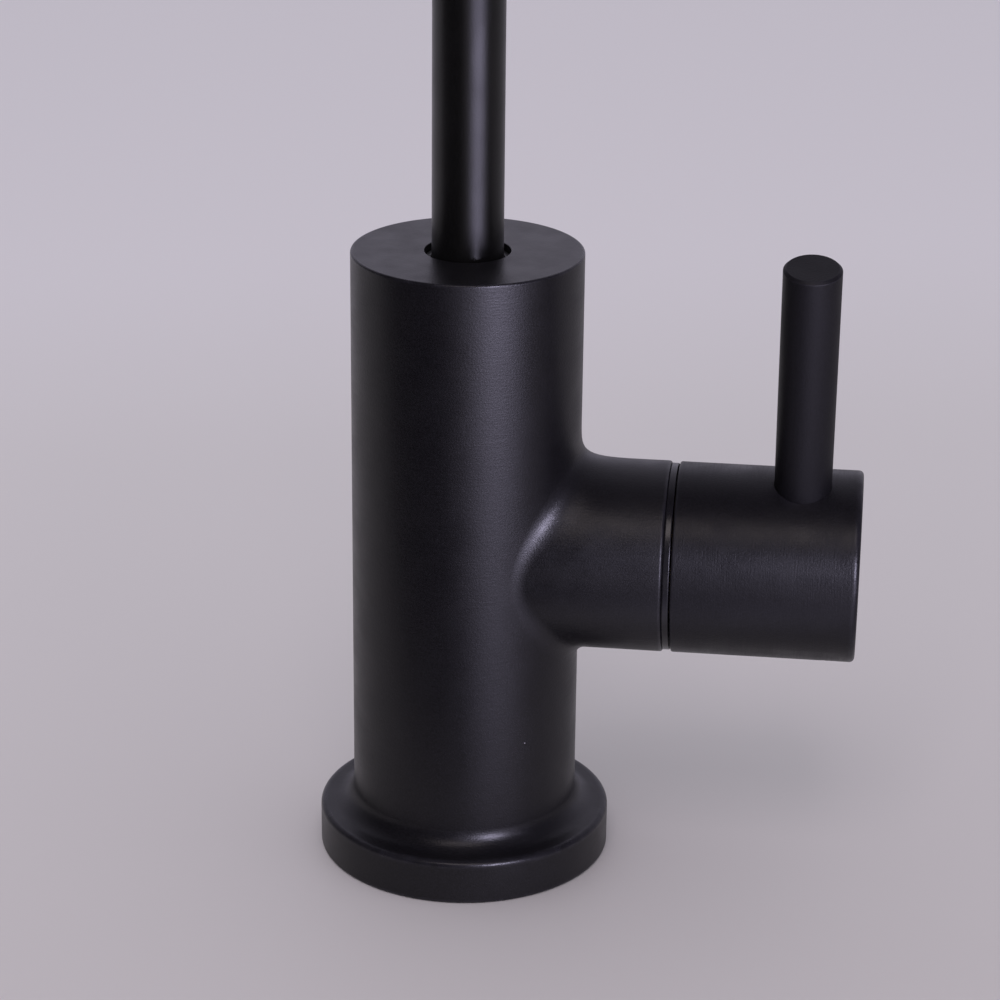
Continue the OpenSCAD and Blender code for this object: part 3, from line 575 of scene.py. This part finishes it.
def hole_column(start, hole):
    """Points from a patch's edge on the hub down a stepped hole, given as (radius, distance from the axis)."""
    angle = math.atan2(hub_r * math.radians(start[0]), start[1] - lever_at)
    side, up = math.sin(angle), math.cos(angle)
    rim_r = hole[0][0]
    rim_x = math.sqrt(hub_r ** 2 - (rim_r * side) ** 2)
    column = patch_rows(hub_r, start, math.atan2(rim_r * side, rim_x), lever_at + rim_r * up, band_patch_steps)
    column.append((rim_x, rim_r * side, lever_at + rim_r * up, hole_rim_wear))
    column += [(x, r * side, lever_at + r * up, 0.0) for r, x in hole]
    return column


lever_hole = [(lever_seat_r, lever_foot), (stub_hole_r, lever_foot), (stub_hole_r, stub_hole_floor),
              (0, stub_hole_floor)]
grub_hole = [(grub_hole_r, grub_hole_floor), (0, grub_hole_floor)]
hub_patch = patch_edge(band_turn, lever_at, band_half, band_rise)
lever_columns = [hole_column(start, lever_hole) for start in hub_patch]
grub_columns = [[(-x, -y, z, wear) for x, y, z, wear in hole_column(start, grub_hole)] for start in hub_patch]
mouth_outline = rounded([
    (0, spindle_socket_top, 0), (spindle_socket_r, spindle_socket_top, 0), (spindle_socket_r, hub_cavity, 0),
    (hub_cavity_r, hub_cavity, 0), (hub_cavity_r, 0, hub_cavity_edge), (hub_r, 0, hub_mouth_edge),
    (hub_r, lever_at - band_half, 0),
])
cap_outline = rounded([(hub_r, lever_at + band_half, 0), (hub_r, hub_len, hub_edge), (0, hub_len, 0)], steps=6)
band_outline = [
    (hub_r, lever_at - band_half + band_rise * i, 0.0) for i in range(round(2 * band_half / band_rise) + 1)
]
band_faces = (180 - 2 * band_turn) * around // 360
# Matte black over brushed metal: fine strokes round the drum, a broad dull band along it, cloudy from hands
hub_coat = matte_black_coat("matte_black_coat_on_brushed_hub", (1, 16, 16), brushed=0.5, roughness=0.4,
                            drawn_out=0.35, level=0.235, cloudy=0.05)
make_piece(
    "handle_hub_piece",
    [
        (turned(mouth_outline), True, False),
        (turned(cap_outline), True, False),
        (turned(band_outline, band_faces, band_turn, 180 - band_turn), False, False),
        (turned(band_outline, band_faces, 180 + band_turn, 360 - band_turn), False, False),
        (list(zip(*lever_columns)), True, False),
        (list(zip(*grub_columns)), True, False),
    ],
    "handle", hub_coat, ["handle_hub"], HUB,
)
dress(stainless, "grub_screw")

# Lever rod
# An 8 mm drawn rod with a threaded stub, so its marks run very finely along it. Its tip is faced off with a
# small chamfer.

lever_r = 4.0
lever_tip = 48.35
lever_chamfer = 0.4
lever_chamfer_edge = 0.12
lever_foot_edge = 0.15
lever_seat_gap = 0.05
stub_r = 2.5
stub_edge = 0.2
stub_end = 6.675
LEVER = HANDLE @ Matrix.Translation((0, 0, hub_foot + lever_at)) @ Matrix.Rotation(math.radians(-90), 4, "X")

lever_outline = rounded([
    (0, stub_end, 0), (stub_r, stub_end, stub_edge), (stub_r, lever_foot + lever_seat_gap, 0),
    (lever_r, lever_foot + lever_seat_gap, lever_foot_edge),
    (lever_r, lever_tip - lever_chamfer, lever_chamfer_edge),
    (lever_r - lever_chamfer, lever_tip, lever_chamfer_edge), (0, lever_tip, 0),
], steps=3)


def along_rod(row, i):
    """The rod was drawn, so its marks run along it, and across its faced tip."""
    return Vector((0.001, 0, 1))


# Matte black over a drawn rod: the dullest of the coats, a soft shade with hardly a highlight
lever_coat = matte_black_coat("matte_black_coat_on_drawn_rod", (1, 1, 9), brushed=0.2, roughness=0.5,
                              drawn_out=0.2, level=0.21)
make_piece("lever_rod_piece", [(turned(lever_outline, 96), True, False)], "handle",
           lever_coat, ["lever_rod"], LEVER, along_rod)

# Spout tube
# A 10 mm stainless tube, bent to a gooseneck and coated matte black. Its foot is pressed into a brass
# ferrule that swivels in the body on two O-rings, held by a snap ring.

spout_r = 5.0
spout_bore_r = 4.0
spout_foot = 79.5
bend_r = 56.0
bend_z = 229.0
spout_end = 194.0
rise_steps = 20
bend_steps = 72
drop_steps = 6


def spout_row(radius, centre, tilt, faces=72):
    """Points round the tube at one place on its middle line; tilt is how far the bend has turned."""
    row = []
    for i in range(faces):
        a = 2 * math.pi * i / faces
        out = radius * math.cos(a)
        y, z = centre[0] + out * math.cos(tilt), centre[1] + out * math.sin(tilt)
        row.append((radius * math.sin(a), y, z, 0.0))
    return row


def round_tube(row, i):
    """Which way the tube's polishing belt ran: round the tube at every point."""
    return Vector(row[(i + 1) % len(row)][:3]) - Vector(row[i - 1][:3])


spout_path = [((0.0, spout_foot + (bend_z - spout_foot) * i / rise_steps), 0.0) for i in range(rise_steps)]
for i in range(bend_steps + 1):
    swept = math.radians(180 * i / bend_steps)
    spout_path.append(((bend_r * (math.cos(swept) - 1), bend_z + bend_r * math.sin(swept)), swept))
spout_path += [
    ((-2 * bend_r, bend_z + (spout_end - bend_z) * i / drop_steps), math.pi) for i in range(1, drop_steps + 1)
]
spout_skin = [spout_row(spout_r, centre, tilt) for centre, tilt in spout_path]
spout_skin += [spout_row(spout_bore_r, centre, tilt) for centre, tilt in reversed(spout_path)]
# Matte black over a belt-polished tube: the shiniest of the coats, with highlights drawn out along the tube
spout_coat = matte_black_coat("matte_black_coat_on_drawn_tube", (1, 1, 9), brushed=0.1, roughness=0.36,
                              drawn_out=0.6, level=0.5, relief_mm=0.025)
spout_tube = make_piece("spout_tube_piece", [(spout_skin, True, True)], "spout",
                        spout_coat, ["spout_tube"], tool_way=round_tube)
dress(turned_brass, "spout_ferrule")

# Spout bush
# A black acetal sleeve in the mouth of the socket steadies the tube, about a millimetre below the body's
# top face, so a dark gap shows round the tube.

bush_bore_r = 5.08
bush_r = 5.98
bush_foot = 85.25
bush_top = 89.85
bush_foot_edge = 0.1
bush_lead_in = 0.15
bush_top_edge = 0.2

# Moulded black acetal: duller than the spacer ring
bush_acetal = moulded("moulded_black_acetal", ("#141414", "#1a1a1b"), 0.4, 0.4, 0.006)
bush_outline = rounded([
    (bush_bore_r, bush_foot, bush_foot_edge), (bush_r, bush_foot, bush_foot_edge),
    (bush_r, bush_top, bush_top_edge), (bush_bore_r, bush_top, bush_lead_in),
], steps=3)
make_piece("spout_bush_piece", [(turned(bush_outline), True, True)], "base", bush_acetal,
           ["spout_bush"])

# Outlet
# A coated brass housing screwed on the tube's end holds a white plastic aerator with its sealing washer.
# The housing is turned and coated like the body.

outlet_y = -2 * bend_r
housing_foot = 186.0
housing_len = 14.0
housing_r = 6.3
opening_r = 4.4
housing_bore_r = 5.4
lip_h = 1.2
thread_floor = 8.0
socket_gap = 0.05
opening_edge = 0.15
housing_foot_edge = 0.3
housing_top_edge = 0.35
housing_outline = rounded([
    (opening_r, 0, opening_edge), (housing_r, 0, housing_foot_edge), (housing_r, housing_len, housing_top_edge),
    (spout_r + socket_gap, housing_len, bored_edge), (spout_r + socket_gap, thread_floor, 0),
    (housing_bore_r, thread_floor, 0), (housing_bore_r, lip_h, 0), (opening_r, lip_h, bored_edge),
], steps=4)
OUTLET = Matrix.Translation((0, outlet_y, housing_foot))
# Matte black over turned brass: as on the body, with clearer marks round it
outlet_coat = matte_black_coat("matte_black_coat_on_turned_outlet", (14, 14, 1), brushed=0.5)
make_piece("aerator_housing_piece", [(turned(housing_outline, 96), True, True)], "spout",
           outlet_coat, ["aerator_housing"], OUTLET)
dress(white_acetal, "aerator_insert")

# Worktop and studio
# A pale satin worktop that fills the view, with painted light on it: a lighter fade towards the back, and, seen
# only in reflections, painted dark patches and a painted glare. A small cool softbox stands low on the right of
# the camera and a larger one hangs above it; the room behind is bright and the room in front is dark.

worktop_half_m = 12.0
# The painted glare: emission in the worktop, seen only in reflections, in place of the low softbox's glare on
# it
glare_azimuth = 35  # degrees from the front round to the right
glare_strength = 5.7
glare_half_width = 0.65  # to each side, as a share of the distance from the tap
glare_drift = 0.07  # how far its far part lies more to the right, in the same measure
glare_near = 0.2  # its strength close to the tap, as a share of the middle's
glare_far = 3.0  # and far off


def stage_plane(name, half_size, material):
    """A flat sheet at the worktop's height."""
    mesh = bpy.data.meshes.new(name)
    corners = [(-half_size, -half_size, 0), (half_size, -half_size, 0), (half_size, half_size, 0),
               (-half_size, half_size, 0)]
    mesh.from_pydata(corners, [], [(0, 1, 2, 3)])
    mesh.materials.append(material)
    sheet = bpy.data.objects.new(name, mesh)
    bpy.context.scene.collection.objects.link(sheet)
    return sheet


# A pale laminated top with a satin finish, painted lighter towards the back: a painted fade of light, lightest
# where a wall would stand behind it. Only in the coat's reflections is it painted dark in front and on the
# right, a painted reflection of the dark room round it, and there it also glows with the low softbox's glare,
# painted in as emission.
worktop, worktop_tree, worktop_shader = start_material("pale_satin_worktop_with_painted_light", 0.6)
spot = add_node(worktop_tree, "TexCoord").outputs["Object"]
in_gloss = add_node(worktop_tree, "LightPath").outputs["Is Glossy Ray"]


def along_worktop(azimuth):
    """How far a point of the worktop lies out towards an azimuth."""
    a = math.radians(azimuth)
    way = add_node(worktop_tree, "VectorMath", {0: spot, 1: (math.sin(a), -math.cos(a), 0)},
                   operation="DOT_PRODUCT")
    return way.outputs["Value"]


# Painted light: the top's colour is painted lighter towards the back, not a tone of the laminate itself
depth = along_worktop(194)
laid_with_painted_fade = mix_colours(worktop_tree, blend_to(worktop_tree, depth, 0.0, 1.0, (-0.05, 0.2)), linear("#d3cfd4"),
                   linear("#dedbe1"))
laminate_with_painted_fade = mix_colours(worktop_tree, blend_to(worktop_tree, depth, 0.0, 1.0, (0.15, 0.3), "SMOOTHSTEP"), laid_with_painted_fade,
                       linear("#e6e3ec"))
# Painted dark reflection: seen only in reflections, the worktop in front on the left and on the right is
# painted near black, as shade from the dark room round it
in_front = blend_to(worktop_tree, along_worktop(0), 0.0, 1.0, (0.035, 0.075))
on_left = blend_to(worktop_tree, along_worktop(-107), 0.0, 1.0, (-0.1, -0.05))
on_right = blend_to(worktop_tree, along_worktop(105), 0.0, 0.3, (0.03, 0.09))
dark = combine(worktop_tree, "MAXIMUM", combine(worktop_tree, "MULTIPLY", in_front, on_left), on_right)
painted_dark_reflection = combine(worktop_tree, "MULTIPLY", dark, in_gloss)
worktop_tree.links.new(mix_colours(worktop_tree, painted_dark_reflection, laminate_with_painted_fade, linear("#2c2b2e")),
                       worktop_shader.inputs["Base Color"])
# The painted glare is a wedge of emission, seen only in reflections, that opens away from the tap, with its
# spans along it in metres from the tap
out = along_worktop(glare_azimuth)
sideways = combine(worktop_tree, "DIVIDE", along_worktop(glare_azimuth + 90), out)
drift = blend_to(worktop_tree, out, 0.0, glare_drift, (0.3, 0.45))
aside = combine(worktop_tree, "ABSOLUTE", combine(worktop_tree, "SUBTRACT", sideways, drift), 0.0)
across = blend_to(worktop_tree, aside, 1.0, 0.0, (0.0, glare_half_width), "SMOOTHSTEP")
middle = combine(worktop_tree, "MULTIPLY", blend_to(worktop_tree, out, 0.0, 1.0, (0.17, 0.29), "SMOOTHSTEP"),
                 blend_to(worktop_tree, out, 1.0, 0.0, (0.6, 0.9), "SMOOTHSTEP"))
from_foot = combine(worktop_tree, "MAXIMUM", middle, blend_to(worktop_tree, out, 0.0, glare_near, (0.03, 0.07)))
to_end = combine(worktop_tree, "MULTIPLY", from_foot, blend_to(worktop_tree, out, 1.0, glare_far, (0.4, 0.6)))
glare = combine(worktop_tree, "MULTIPLY", combine(worktop_tree, "MULTIPLY", to_end, across), in_gloss)
worktop_shader.inputs["Emission Color"].default_value = linear("#dfd9fa")
worktop_tree.links.new(combine(worktop_tree, "MULTIPLY", glare, glare_strength),
                       worktop_shader.inputs["Emission Strength"])
worktop_sheet = stage_plane("worktop_surface", worktop_half_m, worktop)

# The room gives even, nearly white light. In reflections, and behind the worktop, it has its own tones.
fill_strength = 0.78
world = bpy.data.worlds.new("studio_room")
bpy.context.scene.world = world
world.use_nodes = True
room = world.node_tree
room.nodes.clear()
direction = add_node(room, "SeparateXYZ", {"Vector": add_node(room, "TexCoord").outputs["Generated"]}).outputs
rays = add_node(room, "LightPath").outputs
toward_back = blend_to(room, direction["Y"], 0.0, 1.0, (0.1, 0.95))
mirrored = mix_colours(room, toward_back, linear("#262528"), linear("#cac5d8"))
seen_room = add_node(room, "Background", {
    "Color": mix_colours(room, rays["Is Glossy Ray"], linear("#cecad2"), mirrored), "Strength": 1.0,
})
soft_room = add_node(room, "Background", {"Color": linear("#e9e6ea"), "Strength": fill_strength})
through_or_off = combine(room, "MAXIMUM", rays["Is Glossy Ray"], rays["Is Transmission Ray"])
seen = combine(room, "MAXIMUM", rays["Is Camera Ray"], through_or_off)
whole = add_node(room, "MixShader", {0: seen, 1: soft_room.outputs[0], 2: seen_room.outputs[0]})
add_node(room, "OutputWorld", {"Surface": whole.outputs[0]})


def area_light(name, position, size, power, colour, aim=(0, 0, 50)):
    """A rectangular soft source at a position in millimetres that faces the tap."""
    away = (Vector(position) - Vector(aim)).normalized()
    data = bpy.data.lights.new(name, "AREA")
    data.shape = "RECTANGLE"
    data.size, data.size_y = size
    data.energy = power
    data.color = linear(colour)[:3]
    light = bpy.data.objects.new(name, data)
    light.location = Vector(position) * MM
    light.rotation_euler = away.to_track_quat("Z", "Y").to_euler()
    light.visible_camera = False
    bpy.context.scene.collection.objects.link(light)
    return light


low_softbox = area_light("low_softbox", (219, -337, 155), size=(0.11, 0.14), power=1.85, colour="#e3ddfc")
# It stands close over the worktop, so flags keep it off the worktop, and off the spout above the body
flagged = bpy.data.collections.new("flagged_from_low_softbox")
for kept_off in (worktop_sheet, spout_tube):
    flagged.objects.link(kept_off)
for link in flagged.collection_objects:
    link.light_linking.link_state = "EXCLUDE"
low_softbox.light_linking.receiver_collection = flagged
area_light("high_softbox", (15, -570, 860), size=(0.4, 0.36), power=1.6, colour="#fff1f3")

# Camera
# The photograph's own view: slightly right of the front, looking down, through a long lens.

lens_mm = 111.54
sensor_mm = 36.0
camera_at = (52.18, -406.81, 217.44)
nearest_m, farthest_m = 0.02, 60.0
view_azimuth, view_pitch, view_roll = (math.radians(d) for d in (6.636, 21.771, 0.606))
back = Vector((math.sin(view_azimuth) * math.cos(view_pitch), -math.cos(view_azimuth) * math.cos(view_pitch),
               math.sin(view_pitch)))
right = Vector((math.cos(view_azimuth), math.sin(view_azimuth), 0))
axes = Matrix((right, back.cross(right), back)).transposed().to_4x4()
camera_data = bpy.data.cameras.new("photo_camera")
camera_data.lens = lens_mm
camera_data.sensor_width = sensor_mm
camera_data.clip_start, camera_data.clip_end = nearest_m, farthest_m
camera = bpy.data.objects.new("photo_camera", camera_data)
camera.matrix_world = Matrix.Translation(Vector(camera_at) * MM) @ axes @ Matrix.Rotation(view_roll, 4, "Z")
bpy.context.scene.collection.objects.link(camera)
bpy.context.scene.camera = camera
bpy.context.scene.view_settings.view_transform = "Standard"
